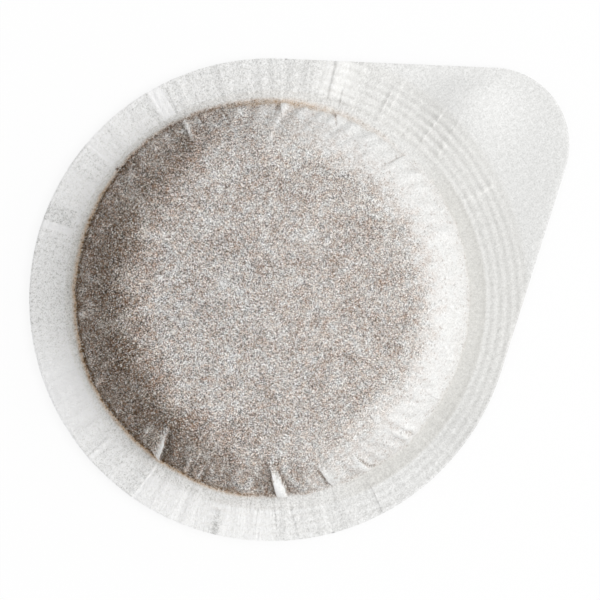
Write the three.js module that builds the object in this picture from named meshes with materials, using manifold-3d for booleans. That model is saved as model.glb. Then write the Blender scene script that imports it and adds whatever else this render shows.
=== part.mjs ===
// Single-serve paper coffee pod: ground coffee sealed between two filter papers, with a pull tab.
// Millimetres, +Z up, drawn side up, tab along +X. The origin is on the puck's axis, on the face it lies on.
import * as THREE from "three";
import { mergeVertices } from "three/addons/utils/BufferGeometryUtils.js";
import Module from "manifold-3d";

// Paper, one layer
const PAPER = 0.12;

// Cup drawn into the upper paper
const PUCK_RADIUS = 22.3; // at the crease where the wall meets the flange
const DOME_HEIGHT = 9.1; // from the seal plane to the middle of the crown
const CROWN_RISE = 0.4;
const SHOULDER_RADIUS = 4.5;
const WALL_ANGLE = 63; // degrees from level

// Belly of the lower paper
const BELLY_DEPTH = 0.8;
const BELLY_SLOPE_WIDTH = 3.1; // from its flat face out to the crease

// Flange, heat seal and tab
const UNSEALED_WIDTH = 1.15; // smooth ring next to the crease
const SEAL_WIDTH = 4.05; // on out to the rim
const RIDGE_PITCH = 0.97;
const RIDGE_HEIGHT = 0.06;
const RIDGE_COUNT = 5; // the outer one reaches into the tab only
const TAB_REACH = 12.1; // beyond the rim
const TAB_TIP_RADIUS = 8.75;
const CUT_OFFSET = 0.35; // the rim is cut this far off the puck's axis, away from the tab

// Coffee inside
const PUCK_GAP = 0.1; // between the coffee and the paper over it

// Facets: columns round the axis, rows down the cup, and steps round the rim and the tip of the tab
const COLUMNS = 120;
const CROWN_ROWS = 2;
const SHOULDER_ROWS = 4;
const WALL_ROWS = 3;
const RIM_STEPS = 79;
const TIP_STEPS = 22;

// Gathers of the wall: angle from the tab in degrees, half width and height in mm
const GATHERS = [
  { at: 12, half: 1.5, height: 0.25 },
  { at: 36, half: 1.6, height: 0.4 },
  { at: 54, half: 1.5, height: 0.3 },
  { at: 69, half: 1.5, height: 0.3 },
  { at: 81, half: 1.6, height: 0.35 },
  { at: 99, half: 1.5, height: 0.15 },
  { at: 123, half: 1.5, height: 0.15 },
  { at: 150, half: 1.5, height: 0.15 },
  { at: 171, half: 1.5, height: 0.15 },
  { at: 198, half: 1.8, height: 0.55 },
  { at: 210, half: 1.5, height: 0.2 },
  { at: 228, half: 1.5, height: 0.15 },
  { at: 237, half: 1.6, height: 0.6 },
  { at: 252, half: 1.6, height: 0.4 },
  { at: 264, half: 1.5, height: 0.4 },
  { at: 282, half: 1.6, height: 0.35 },
  { at: 294, half: 1.5, height: 0.15 },
  { at: 306, half: 1.5, height: 0.15 },
  { at: 342, half: 1.5, height: 0.1 },
];

// Where a gather grows and dies away, as shares of the way out from the crown's edge to the crease
const GATHER_GROWS = [0.2, 0.75];
const GATHER_FADES = [0.88, 0.98];

// Pleats of the flange: angle from the tab in degrees, width in mm and layers of paper folded under
const PLEATS = [
  { at: 38, width: 3.2, layers: 2 },
  { at: 84, width: 2.4, layers: 1 },
  { at: 109, width: 2.8, layers: 1 },
  { at: 127, width: 2.6, layers: 1 },
  { at: 186, width: 1.6, layers: 1 },
  { at: 201, width: 2.0, layers: 1 },
  { at: 220, width: 1.8, layers: 2 },
  { at: 241, width: 1.8, layers: 1 },
  { at: 263, width: 1.8, layers: 1 },
];
const PLEAT_RAMP = 1.2;

// Levels and radii that follow from the sizes above
const sealLevel = BELLY_DEPTH + PAPER;
const flangeTop = sealLevel + PAPER;
const crownEdge = sealLevel + DOME_HEIGHT - CROWN_RISE;
const slope = THREE.MathUtils.degToRad(WALL_ANGLE);
const wallTop = crownEdge - SHOULDER_RADIUS * (1 - Math.cos(slope));
const wallTopRadius = PUCK_RADIUS - (wallTop - flangeTop) / Math.tan(slope);
const crownRadius = wallTopRadius - SHOULDER_RADIUS * Math.sin(slope);
const sealStart = PUCK_RADIUS + UNSEALED_WIDTH;
const rimRadius = sealStart + SEAL_WIDTH;
const tipDistance = rimRadius + TAB_REACH - TAB_TIP_RADIUS;
const ridgeEnd = sealStart + RIDGE_COUNT * RIDGE_PITCH;
const blankRadius = ridgeEnd + rimRadius + TAB_REACH; // sheet before it is cut, well past the tab

const wasm = await Module();
wasm.setup();

// Section of the cup from its axis out to a level, an even distance inside its outer skin
function cupSection(inset, level) {
  const section = [];
  for (let k = 0; k <= CROWN_ROWS; k++) {
    const share = k / CROWN_ROWS;
    const rise = CROWN_RISE * (1 - share * share);
    section.push(new THREE.Vector2(crownRadius * share, crownEdge + rise - inset));
  }
  const bend = SHOULDER_RADIUS - inset;
  for (let k = 1; k <= SHOULDER_ROWS; k++) {
    const turn = (slope * k) / SHOULDER_ROWS;
    const z = crownEdge - SHOULDER_RADIUS + bend * Math.cos(turn);
    section.push(new THREE.Vector2(crownRadius + bend * Math.sin(turn), z));
  }
  const top = section[section.length - 1];
  const foot = new THREE.Vector2(top.x + (top.y - level) / Math.tan(slope), level);
  for (let k = 1; k <= WALL_ROWS; k++) section.push(top.clone().lerp(foot, k / WALL_ROWS));
  return section;
}

// Upper skin of the flange: a smooth ring, then the ridges that the sealing jaw leaves, then plain paper
function flangeSection() {
  const section = [new THREE.Vector2(sealStart, flangeTop)];
  for (let k = 0; k < RIDGE_COUNT; k++) {
    const start = sealStart + k * RIDGE_PITCH;
    section.push(new THREE.Vector2(start + RIDGE_PITCH / 2, flangeTop + RIDGE_HEIGHT));
    section.push(new THREE.Vector2(start + RIDGE_PITCH, flangeTop));
  }
  section.push(new THREE.Vector2(blankRadius, flangeTop));
  return section;
}

// Closed surface of a section turned about +Z; the section runs from the axis along the top and back below
function turned(section) {
  const geometry = new THREE.LatheGeometry(section.slice().reverse(), COLUMNS);
  geometry.rotateX(Math.PI / 2);
  return geometry;
}

// Distance along a circle between two directions
function arcBetween(angle, degrees, radius) {
  const apart = angle - THREE.MathUtils.degToRad(degrees);
  return Math.abs(Math.atan2(Math.sin(apart), Math.cos(apart))) * radius;
}

// How far the gathers push the wall out: they start on the shoulder and end in the crease
function gatherAt(radius, angle) {
  const along = (radius - crownRadius) / (PUCK_RADIUS - crownRadius);
  const grown = THREE.MathUtils.smoothstep(along, ...GATHER_GROWS);
  const faded = THREE.MathUtils.smoothstep(along, ...GATHER_FADES);
  let push = 0;
  for (const gather of GATHERS) {
    const share = Math.max(0, 1 - arcBetween(angle, gather.at, PUCK_RADIUS) / gather.half);
    push = Math.max(push, gather.height * share);
  }
  return push * grown * (1 - faded);
}

// How much thicker the pleats make the flange: flat on top, with a ramp at each side
function pleatAt(radius, angle) {
  let lift = 0;
  for (const pleat of PLEATS) {
    const edge = pleat.width / 2 - arcBetween(angle, pleat.at, radius);
    const share = THREE.MathUtils.clamp(edge / PLEAT_RAMP + 0.5, 0, 1);
    lift = Math.max(lift, pleat.layers * PAPER * share);
  }
  return lift * THREE.MathUtils.smoothstep(radius, PUCK_RADIUS, sealStart);
}

// Gathers move both skins of the wall; pleats raise the upper skin of the flange
function pressFolds(geometry) {
  const position = geometry.getAttribute("position");
  for (let k = 0; k < position.count; k++) {
    const x = position.getX(k);
    const y = position.getY(k);
    const z = position.getZ(k);
    const radius = Math.hypot(x, y);
    const angle = Math.atan2(y, x);
    if (radius > PUCK_RADIUS) {
      if (z > sealLevel + PAPER / 2) position.setZ(k, z + pleatAt(radius, angle));
    } else {
      const push = gatherAt(radius, angle);
      const out = push * Math.sin(slope);
      position.setXYZ(k, x + out * Math.cos(angle), y + out * Math.sin(angle), z + push * Math.cos(slope));
    }
  }
  return geometry;
}

// Closed surface as a solid to cut
function solidOf(geometry) {
  geometry.deleteAttribute("normal");
  geometry.deleteAttribute("uv");
  const merged = mergeVertices(geometry, 1e-4);
  return new wasm.Manifold(
    new wasm.Mesh({
      numProp: 3,
      vertProperties: Float32Array.from(merged.getAttribute("position").array),
      triVerts: Uint32Array.from(merged.getIndex().array),
    }),
  );
}

// Round blank with a tab: the arc of the rim, and the arc of the tip that straight edges run on to
function cutOutline() {
  const turn = Math.acos((rimRadius - TAB_TIP_RADIUS) / tipDistance);
  const rim = new THREE.EllipseCurve(0, 0, rimRadius, rimRadius, turn, 2 * Math.PI - turn);
  const tip = new THREE.EllipseCurve(tipDistance, 0, TAB_TIP_RADIUS, TAB_TIP_RADIUS, -turn, turn);
  const outline = new THREE.Shape([...rim.getPoints(RIM_STEPS), ...tip.getPoints(TIP_STEPS)]);
  const podHeight = sealLevel + DOME_HEIGHT;
  const block = new THREE.ExtrudeGeometry(outline, { depth: 3 * podHeight, bevelEnabled: false });
  return solidOf(block.translate(-CUT_OFFSET, 0, -podHeight));
}

// Named mesh of a solid
function meshOf(solid, name, material) {
  const { vertProperties, triVerts } = solid.getMesh();
  const geometry = new THREE.BufferGeometry();
  geometry.setAttribute("position", new THREE.BufferAttribute(vertProperties, 3));
  geometry.setIndex(new THREE.BufferAttribute(triVerts, 1));
  geometry.computeVertexNormals();
  const mesh = new THREE.Mesh(geometry, material);
  mesh.name = name;
  return mesh;
}

// Upper paper: cup and flange, gathered and pleated, then cut to the outline
const upperBelow = [...cupSection(PAPER, sealLevel), new THREE.Vector2(blankRadius, sealLevel)];
const upperAbove = [...cupSection(0, flangeTop), ...flangeSection()];
const upper = solidOf(pressFolds(turned([...upperAbove, ...upperBelow.reverse()]))).intersect(cutOutline());

// Lower paper: flat belly, sloping rim and flange, cut to the same outline
const bellyRadius = PUCK_RADIUS - BELLY_SLOPE_WIDTH;
const lowerAbove = [
  new THREE.Vector2(0, PAPER),
  new THREE.Vector2(bellyRadius, PAPER),
  new THREE.Vector2(PUCK_RADIUS, sealLevel),
  new THREE.Vector2(blankRadius, sealLevel),
];
const lowerBelow = lowerAbove.map((point) => new THREE.Vector2(point.x, point.y - PAPER));
const lower = solidOf(turned([...lowerAbove, ...lowerBelow.reverse()])).intersect(cutOutline());

// Coffee puck: fills the cup and stands on the belly
const puckAbove = cupSection(PAPER + PUCK_GAP, sealLevel + PUCK_GAP);
const puckBelow = [new THREE.Vector2(bellyRadius - PUCK_GAP, PAPER), new THREE.Vector2(0, PAPER)];
const puck = solidOf(turned([...puckAbove, ...puckBelow]));

const upperMaterial = new THREE.MeshStandardMaterial({ name: "filter_paper_upper", color: 0xe9e6e0, roughness: 0.95 });
const lowerMaterial = new THREE.MeshStandardMaterial({ name: "filter_paper_lower", color: 0xe9e6e0, roughness: 0.95 });
const coffeeMaterial = new THREE.MeshStandardMaterial({ name: "ground_coffee", color: 0x4a3020, roughness: 1 });

const pod = new THREE.Group();
pod.name = "coffee_pod";
pod.add(meshOf(upper, "upper_filter_paper", upperMaterial));
pod.add(meshOf(lower, "lower_filter_paper", lowerMaterial));
pod.add(meshOf(puck, "coffee_puck", coffeeMaterial));

export default pod;
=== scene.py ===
import math
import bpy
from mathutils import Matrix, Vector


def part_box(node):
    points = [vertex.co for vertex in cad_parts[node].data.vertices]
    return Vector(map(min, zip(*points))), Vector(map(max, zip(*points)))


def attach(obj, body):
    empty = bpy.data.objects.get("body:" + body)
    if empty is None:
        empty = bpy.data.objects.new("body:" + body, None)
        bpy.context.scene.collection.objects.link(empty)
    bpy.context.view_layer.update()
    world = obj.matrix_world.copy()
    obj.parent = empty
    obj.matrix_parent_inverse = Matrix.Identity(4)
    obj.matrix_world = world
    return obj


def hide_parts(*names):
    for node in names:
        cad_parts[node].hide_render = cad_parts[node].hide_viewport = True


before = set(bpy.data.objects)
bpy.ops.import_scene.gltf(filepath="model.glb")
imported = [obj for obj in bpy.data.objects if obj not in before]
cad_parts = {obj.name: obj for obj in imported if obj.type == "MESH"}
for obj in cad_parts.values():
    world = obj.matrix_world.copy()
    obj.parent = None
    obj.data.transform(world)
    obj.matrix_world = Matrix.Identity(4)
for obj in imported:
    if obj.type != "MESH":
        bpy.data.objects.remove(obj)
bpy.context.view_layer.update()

from types import SimpleNamespace
from typing import NamedTuple

import bpy
import numpy as np


# Coffee puck. Seven grams of dark roast, ground fine and tamped into a firm disc.
# It fills the space between the two papers and shows through them as a brown speckle.
# The pressed grounds keep the turned form of the solid, so only their finish is added.
MM = 0.001
GRAIN_SIZE = 0.55
GRAIN_SHARE = 0.8
GRAIN_BUMP = 0.8
GRAIN_RELIEF = 0.25 * MM
PATCH_SIZE = 2.5
PATCH_SHARE = 0.3
GROUNDS_DARK = (0.022, 0.010, 0.005, 1)
GROUNDS_LIGHT = (0.115, 0.055, 0.026, 1)
GROUNDS_ROUGHNESS = 0.85


class Wire:
    """One output of a shader node. Arithmetic on it adds Math nodes to the same material."""

    def __init__(self, tree, socket=None):
        self.tree = tree
        self.socket = socket

    def node(self, kind, settings=None, sockets=None, out=0):
        """A node of this kind: settings first, then the value or link of each socket; gives one output."""
        made = self.tree.nodes.new("ShaderNode" + kind)
        for name, value in (settings or {}).items():
            setattr(made, name, value)
        for name, value in (sockets or {}).items():
            if isinstance(value, Wire):
                self.tree.links.new(value.socket, made.inputs[name])
            else:
                made.inputs[name].default_value = value
        return Wire(self.tree, made.outputs[out])

    def math(self, operation, *values):
        return self.node("Math", {"operation": operation}, dict(enumerate(values)))

    def __add__(self, other):
        return self.math("ADD", self, other)

    __radd__ = __add__

    def __sub__(self, other):
        return self.math("SUBTRACT", self, other)

    def __rsub__(self, other):
        return self.math("SUBTRACT", other, self)

    def __mul__(self, other):
        return self.math("MULTIPLY", self, other)

    __rmul__ = __mul__

    def __pow__(self, other):
        return self.math("POWER", self, other)

    def exp(self):
        return self.math("EXPONENT", self)

    def larger(self, other):
        return self.math("MAXIMUM", self, other)

    def step(self, low, high):
        """0 below low, 1 above high and a smooth rise between them; it falls where low is the larger."""
        sockets = {"Value": self, "From Min": low, "From Max": high}
        return self.node("MapRange", {"interpolation_type": "SMOOTHSTEP"}, sockets)

    def tint(self, first, second):
        """Colour that goes from first to second as this value goes from 0 to 1. In a Mix node the colours
        are inputs 6 and 7, and the mixed colour is output 2."""
        return self.node("Mix", {"data_type": "RGBA"}, {0: self, 6: first, 7: second}, out=2)

    def scaled(self, factor):
        """This colour or position times a number."""
        return self.node("VectorMath", {"operation": "SCALE"}, {0: self, "Scale": factor})

    def moved(self, seed):
        """This position moved aside by the seed, for another draw of a pattern."""
        return self.node("VectorMath", {"operation": "ADD"}, {0: self, 1: (seed, seed * 0.7, 0)})

    def noise(self, size, detail=2.0, seed=0.0):
        """Smooth noise from 0 to 1 with features of this size, in the units of this position."""
        sockets = {"Vector": self.moved(seed), "Scale": 1 / size, "Detail": detail}
        return self.node("TexNoise", None, sockets)

    def swell(self, octaves):
        """Sum of noises about their mean, each by its weight, size, detail and seed."""
        total = 0
        for weight, *pattern in octaves:
            total = total + weight * (self.noise(*pattern) - 0.5)
        return total

    def cells(self, size, seed=0.0):
        """One random value from 0 to 1 for each of many small cells of this size, packed like grains."""
        colour = self.node("TexVoronoi", None, {"Vector": self.moved(seed), "Scale": 1 / size}, "Color")
        return self.node("SeparateColor", None, {"Color": colour}, "Red")

    def scatter(self, size, seed, low, high):
        """1 on the few cells whose random value lies above high, 0 on those below low."""
        return self.cells(size, seed).step(low, high)


def new_material(name):
    """Empty material with one Principled shader, its wire to start from and the shader itself."""
    material = bpy.data.materials.new(name)
    material.use_nodes = True
    shader = material.node_tree.nodes["Principled BSDF"]
    return material, Wire(material.node_tree), shader


def join(wire, shader, socket):
    """Link a wire to one socket of the shader."""
    wire.tree.links.new(wire.socket, shader.inputs[socket])


def coffee_grounds():
    """Grains as random cells, each with its own brown, domed by the distance to the cell's middle."""
    material, start, shader = new_material("ground_coffee")
    place = start.node("TexCoord", None, None, "Object").scaled(1 / MM)
    shade = GRAIN_SHARE * place.cells(GRAIN_SIZE) + PATCH_SHARE * place.noise(PATCH_SIZE)
    join(shade.tint(GROUNDS_DARK, GROUNDS_LIGHT), shader, "Base Color")
    middle = place.node("TexVoronoi", None, {"Vector": place, "Scale": 1 / GRAIN_SIZE}, "Distance")
    bump = {"Strength": GRAIN_BUMP, "Distance": GRAIN_RELIEF, "Height": 1 - middle}
    join(place.node("Bump", None, bump), shader, "Normal")
    shader.inputs["Roughness"].default_value = GROUNDS_ROUGHNESS
    return material


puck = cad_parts["coffee_puck"]
puck.data.materials.clear()
puck.data.materials.append(coffee_grounds())


# Lower filter paper. A flat sheet of bleached filter paper under the coffee, pressed into a shallow belly.
# Its rim is heat-sealed to the upper paper by a ridged jaw, and both are cut together, round with a tab.
# The pod lies on the flat middle of the belly, where the coffee shows through.
PAPER = 0.12 * MM
RIM_RADIUS = 27.5 * MM
TAB_TIP_RADIUS = 8.75 * MM
CUT_OFFSET = 0.35 * MM
EDGE_ROUND = 0.22 * MM
EDGE_ROWS = (0.55, 0.2, 0.0)
PUCK_RADIUS = 22.3 * MM
SEAL_START = 23.45 * MM
RIDGE_PITCH = 0.97 * MM
RIDGE_COUNT = 5
RIDGE_HEIGHT = 0.085 * MM
LAST_RIDGE = 0.3
JAW_OFFSET = 0.37 * MM
JAW_OFFSET_SIDE = math.radians(285)
RING_END = 24.0 * MM
BELLY_RADIUS = 19.2 * MM
BLANK_MARGIN = 1.0 * MM
MERGE_STEP = 1e-5 * MM
SHARP_EDGE = math.radians(70)
RIPPLE_WAVES = 14
RIPPLE_SHORTEST = 0.75
RIPPLE_SPREAD = 0.6

lower_low, lower_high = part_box("lower_filter_paper")
seal_level = lower_high.z
belly_depth = seal_level - PAPER
tip_centre = lower_high.x - TAB_TIP_RADIUS
ridge_end = SEAL_START + (RIDGE_COUNT + 1) * RIDGE_PITCH + JAW_OFFSET
sheet_end = lower_high.x + BLANK_MARGIN


def cut_radius(angle):
    """Distance from the puck's axis to the cut edge, by direction: the rim circle, then the straight edge
    that touches both circles, then the tip circle of the tab, each between its touching points."""
    half = np.abs(np.arctan2(np.sin(angle), np.cos(angle)))
    lean = math.acos((RIM_RADIUS - TAB_TIP_RADIUS) / (tip_centre + CUT_OFFSET))
    rim = np.sqrt(RIM_RADIUS**2 - (CUT_OFFSET * np.sin(half)) ** 2) - CUT_OFFSET * np.cos(half)
    straight = (RIM_RADIUS - CUT_OFFSET * math.cos(lean)) / np.cos(half - lean)
    under = np.maximum(TAB_TIP_RADIUS**2 - (tip_centre * np.sin(half)) ** 2, 0)
    tip = tip_centre * np.cos(half) + np.sqrt(under)
    rim_touch = math.atan2(RIM_RADIUS * math.sin(lean), RIM_RADIUS * math.cos(lean) - CUT_OFFSET)
    tip_touch = math.atan2(TAB_TIP_RADIUS * math.sin(lean), TAB_TIP_RADIUS * math.cos(lean) + tip_centre)
    return np.where(half > rim_touch, rim, np.where(half > tip_touch, straight, tip))


def smooth(value, low, high):
    """0 below low, 1 above high, and three times the square less twice the cube of the share between."""
    share = np.clip((value - low) / (high - low), 0, 1)
    return share * share * (3 - 2 * share)


class Wave(NamedTuple):
    """Swell of a sheet: its height, the length of its waves and the seed of its draw."""

    height: float
    length: float
    seed: int


def ripple(x, y, wave):
    """Even, patternless swell of about the wave's height: the sum of plane waves of about its length, each
    with a random direction and phase, over the root of their number."""
    draw = np.random.default_rng(wave.seed)
    total = np.zeros_like(x)
    for turn, phase, stretch in draw.uniform(0, 1, (RIPPLE_WAVES, 3)):
        way = 2 * np.pi * turn
        rate = 2 * np.pi / (wave.length * (RIPPLE_SHORTEST + RIPPLE_SPREAD * stretch))
        total += np.sin(rate * (x * np.cos(way) + y * np.sin(way)) + 2 * np.pi * phase)
    return wave.height * total / math.sqrt(RIPPLE_WAVES)


def from_jaw(radius, angle):
    """Distance from the axis of the sealing jaw, which sat a little to one side of the puck's axis."""
    return radius - JAW_OFFSET * np.cos(angle - JAW_OFFSET_SIDE)


def seal_ridges(radius, angle):
    """Rings left by the sealing jaw: half of one less the cosine of the distance past the seal's start, and
    a last, weaker ring past them."""
    past = (from_jaw(radius, angle) - SEAL_START) / RIDGE_PITCH
    strength = np.select([past < 0, past < RIDGE_COUNT, past < RIDGE_COUNT + 1], [0, 1, LAST_RIDGE], 0)
    return strength * (0.5 - 0.5 * np.cos(2 * np.pi * past))


def around(radius, angle, height):
    """Points at a distance from the axis, an angle from the tab and a height."""
    return np.stack([radius * np.cos(angle), radius * np.sin(angle), height + 0 * radius], -1)


def polar_grid(rows, angle):
    """Radius and angle of each point of a sheet, rows outwards and columns round, and how far it is round
    the cut edge. Rows stop just inside the cut, and three more close in on it to round the edge."""
    cut = cut_radius(angle)
    edge = cut - EDGE_ROUND * np.array(EDGE_ROWS)[:, None]
    radius = np.concatenate([np.minimum(rows[:, None], cut - EDGE_ROUND), edge])
    return radius, np.broadcast_to(angle, radius.shape), smooth(radius, cut - EDGE_ROUND, cut)


def sheet_object(name, top, bottom, marks):
    """Closed sheet from a grid of points above and one below, rows outwards. The lower grid reversed
    carries the upper one on over the edge; each cell is two triangles, points that coincide are merged,
    and what that leaves without area is dropped. Marks are values at the points, by name, in that order."""
    grid = np.concatenate([top, bottom[::-1]])
    rows, columns = grid.shape[:2]
    place = np.arange(rows * columns).reshape(rows, columns)
    beside = np.roll(place, -1, axis=1)
    first = np.stack([place[:-1], place[1:], beside[1:]], -1).reshape(-1, 3)
    second = np.stack([place[:-1], beside[1:], beside[:-1]], -1).reshape(-1, 3)
    points = grid.reshape(-1, 3)
    steps = np.round(points / MERGE_STEP).astype(np.int64)
    _, kept, merged = np.unique(steps, axis=0, return_index=True, return_inverse=True)
    faces = merged.reshape(-1)[np.concatenate([first, second])]
    real = (faces != np.roll(faces, -1, axis=1)).all(axis=1)
    mesh = bpy.data.meshes.new(name)
    mesh.from_pydata(points[kept], [], faces[real])
    for mark, values in marks.items():
        kind, field = ("FLOAT_VECTOR", "vector") if values.ndim == 3 else ("FLOAT", "value")
        layer = mesh.attributes.new(mark, kind, "POINT")
        flat = values.reshape(rows * columns, -1)[kept].astype(np.float32)
        layer.data.foreach_set(field, flat.ravel())
    mesh.shade_smooth()
    mesh.set_sharp_from_angle(angle=SHARP_EDGE)
    piece = bpy.data.objects.new(name, mesh)
    bpy.context.scene.collection.objects.link(piece)
    return piece


# Finish of both papers: a tangle of bleached fibres over the brown of the coffee. Marks on the sheet steer
# it: two kinds of place on it, how much coffee lies behind, the dust in the crease, the ring left open
# inside the seal, the crevices of the folds with their painted shadow, the layers of the folds with some
# painted light, how rough the paper is, which also paints a fill light that pales it, and how streaked.
SHEET_PLACES = ("sheet", "turned")
SHEET_VALUES = ("coffee", "dust", "ring", "crevice", "layers", "rough", "radial")
PAPER_ROUGHNESS = 0.95
PAPER_SPECULAR = 0.15
RELIEF_DEPTH = 0.09 * MM

# Fibres: noise sizes that give their curls, half width in mm, and the step from one seed to the next
FIBRE_CURLS = (0.22, 0.32, 0.45, 0.8)
FIBRE_HALF = 0.0264
FIBRE_SEED = 7.3

# Patterns by size in mm and seed, with the detail of a noise between them
GRAIN = (0.088, 3.1)
FUZZ = (0.065, 53.9)
CRUMBS = (0.16, 37.1)
STREAKS = (0.32, 2.0, 67.3)
CLUSTERS = (0.9, 2.0, 29.3)
CLOUDS = (3.5, 2.0, 11.7)

# Scattered cells by size in mm, seed, and the random values between which they begin to show
DOTS = (0.11, 5.9, 0.88, 0.95)
FLECKS = (0.092, 9.7, 0.86, 0.94)
SPECKS = (0.2, 13.3, 0.93, 0.97)

# Noises by weight, size in mm, detail and seed
MOTTLE = ((2.4, 0.45, 3.0, 41.3), (3.0, 0.2, 1.0, 43.9))
RELIEF = ((0.8, 0.18, 1.0, 23.9), (0.9, 0.4, 1.0, 27.7), (1.0, 1.0, 2.0, 31.1))
FIBRE_RELIEF = 0.3
STREAK_RELIEF = 1.6
RELIEF_BASE = 0.05


def sheet_marks(start):
    """Wires of the marks on a sheet, by name: the places first, then the single values."""
    kinds = {name: "Vector" for name in SHEET_PLACES} | {name: "Fac" for name in SHEET_VALUES}
    wires = {}
    for name, out in kinds.items():
        wires[name] = start.node("Attribute", {"attribute_name": name}, None, out)
    return SimpleNamespace(**wires)


def fibre_tangle(place):
    """1 along fibres and 0 beside them: a fibre follows the line on which smooth noise has its middle
    value, noises of several sizes give several curls, and the highest of them lies on top."""
    fibres = 0
    for k, curl in enumerate(FIBRE_CURLS):
        level = place.noise(curl, 0.0, FIBRE_SEED * (k + 1)) - 0.5
        strand = level.math("ABSOLUTE", level).step(FIBRE_HALF / curl, 0.0)
        fibres = strand.larger(fibres)
    return fibres


PAPER_WHITE = (0.95, 0.95, 0.94, 1)
PAPER_GREY = (0.62, 0.62, 0.605, 1)
RING_WHITE = (0.828, 0.82, 0.792, 1)
RING_GREY = (0.600, 0.592, 0.565, 1)
# How much paler the layers mark makes the paper: for pressed plies of paper, and for painted light
LAYER_AND_LIGHT_GAIN = 0.17
SMOOTH_TONE = 0.34
# How much the rough mark lifts the tone: a painted fill light
PAINTED_FILL_TONE = 0.34
FIBRE_TONE = 0.3
FIBRE_COVER = 0.3
GRAIN_TONE = 0.35
STREAK_TONE = 0.8
TEXTURE_SHARE = 0.85
TEXTURE_ROUGH = 0.3
TEXTURE_POWER = 4


def bare_paper(mark, fibres, grain, streaks, open_fibre):
    """Colour of the sheet with nothing behind it, from grey to white by its tone: a mean that rises with
    the rough mark, which is also a painted fill light, strongest on the side away from the lamp, and a
    texture of fibres, mottle, grain and streaks that is stronger where the fibres are open. The open ring
    is a little yellower, and the layers mark makes it paler in proportion, for pressed plies of paper and
    for painted light."""
    texture = FIBRE_TONE * (fibres - FIBRE_COVER) + mark.sheet.swell(MOTTLE)
    texture = texture + GRAIN_TONE * grain + STREAK_TONE * streaks
    texture = texture * open_fibre * (TEXTURE_SHARE + TEXTURE_ROUGH * mark.rough**TEXTURE_POWER)
    tone = SMOOTH_TONE + PAINTED_FILL_TONE * mark.rough + texture
    paper = mark.ring.tint(tone.tint(PAPER_GREY, PAPER_WHITE), tone.tint(RING_GREY, RING_WHITE))
    return paper.scaled(1 + LAYER_AND_LIGHT_GAIN * mark.layers)


COFFEE_DARK = (0.074, 0.060, 0.045, 1)
COFFEE_RED = (0.215, 0.122, 0.074, 1)
VEIL_BROWN = (0.48, 0.28, 0.15, 1)
VEIL_OLIVE = (0.40, 0.325, 0.225, 1)
VEIL_TURNS = (0.1, 0.5)
VEIL_SHARE = 0.50
VEIL_CLUSTERS = 3.0
CLOUD_DEPTH = 3.4
STREAK_DEPTH = 2.4
GROUNDS_MEAN = 1.3
GRAIN_DEPTH = 3.4
DOT_DEPTH = 6.0
SPECK_DEPTH = 0.35
SPECK_RANGE = (0.0, 0.06)
REDNESS = 0.28
THIN_REDNESS = 0.8
CLUSTER_REDNESS = 7.0
DOT_DARKNESS = 0.6

# In thick coffee, and how much more where it is thin
CLUSTER_DEPTH = (0.4, 1.2)
FIBRES_HIDE = (0.3, 0.7)
FLECKS_HIDE = (0.35, 1.2)


def coffee_behind(mark, paper, fibres, grain, streaks):
    """Colour of the sheet with coffee behind it. The amount of coffee, varied by clouds, clusters, streaks,
    grain and dark dots and hidden by fibres and pale flecks, is a depth: one less the exponential of minus
    it is the share of dark grounds that shows. Between the grounds lies a veil of stained paper."""
    dots = mark.sheet.scatter(*DOTS)
    flecks = mark.sheet.scatter(*FLECKS)
    specks = mark.sheet.scatter(*SPECKS) * mark.coffee.step(*SPECK_RANGE)
    clusters = mark.sheet.noise(*CLUSTERS) - 0.5
    clouds = mark.sheet.noise(*CLOUDS) - 0.5
    thin = (-1 * mark.coffee).exp()

    def by_thinness(thick, more):
        return thick + more * thin

    depth = 1 + CLOUD_DEPTH * clouds + by_thinness(*CLUSTER_DEPTH) * clusters + STREAK_DEPTH * streaks
    depth = mark.coffee * depth * (GROUNDS_MEAN + GRAIN_DEPTH * grain + DOT_DEPTH * dots)
    depth = depth * (1 - by_thinness(*FIBRES_HIDE) * fibres) * (1 - by_thinness(*FLECKS_HIDE) * flecks)
    stain = 1 - (-1 * (depth + SPECK_DEPTH * specks)).exp()
    red = REDNESS + (THIN_REDNESS + CLUSTER_REDNESS * clusters) * thin
    red = red + grain - DOT_DARKNESS * dots
    veil = (1 - thin) * (VEIL_SHARE + VEIL_CLUSTERS * clusters * thin)
    veil = veil.tint(paper, thin.step(*VEIL_TURNS).tint(VEIL_OLIVE, VEIL_BROWN))
    return stain.tint(veil, red.tint(COFFEE_DARK, COFFEE_RED))


DUST_FRINGE = (0.68, 0.44, 0.22, 1)
DUST_BROWN = (0.110, 0.058, 0.022, 1)
FRINGE_RANGE = (0.03, 0.42)
FRINGE_SHARE = 0.68
FRINGE_CRUMBS = 0.7
FRINGE_ENDS = 0.7
LINE_DUST = 1.5
LINE_CRUMBS = 0.9
LINE_RANGE = (0.55, 1.05)
LINE_SHARE = 0.85


def crease_dust(mark, colour):
    """Coffee dust caught in the crease: a tan fringe outside the wall, then a dark line of crumbs in it."""
    crumbs = mark.sheet.cells(*CRUMBS) - 0.5
    outside = (1 - FRINGE_ENDS * mark.coffee).step(0.0, 1.0)
    fringe = mark.dust.step(*FRINGE_RANGE) * outside * (FRINGE_SHARE + FRINGE_CRUMBS * crumbs)
    line = (LINE_DUST * mark.dust + LINE_CRUMBS * crumbs).step(*LINE_RANGE) * LINE_SHARE
    return line.tint(fringe.tint(colour, DUST_FRINGE), DUST_BROWN)


WHITEST = (0.97, 0.97, 0.97)
# Painted shadow in the crevices of the tucks, a dark brown that is partly coffee
CREVICE_SHADOW = (0.060, 0.044, 0.035, 1)
CREVICE_SHARE = 0.35
CREVICE_GRAIN = 0.7
LAYERS_SHUT = (2.1, -0.2)
PAPER_FUZZ = 0.5
COFFEE_FUZZ = 1.8
COFFEE_FUZZ_RANGE = (0.0, 0.6)


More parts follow.
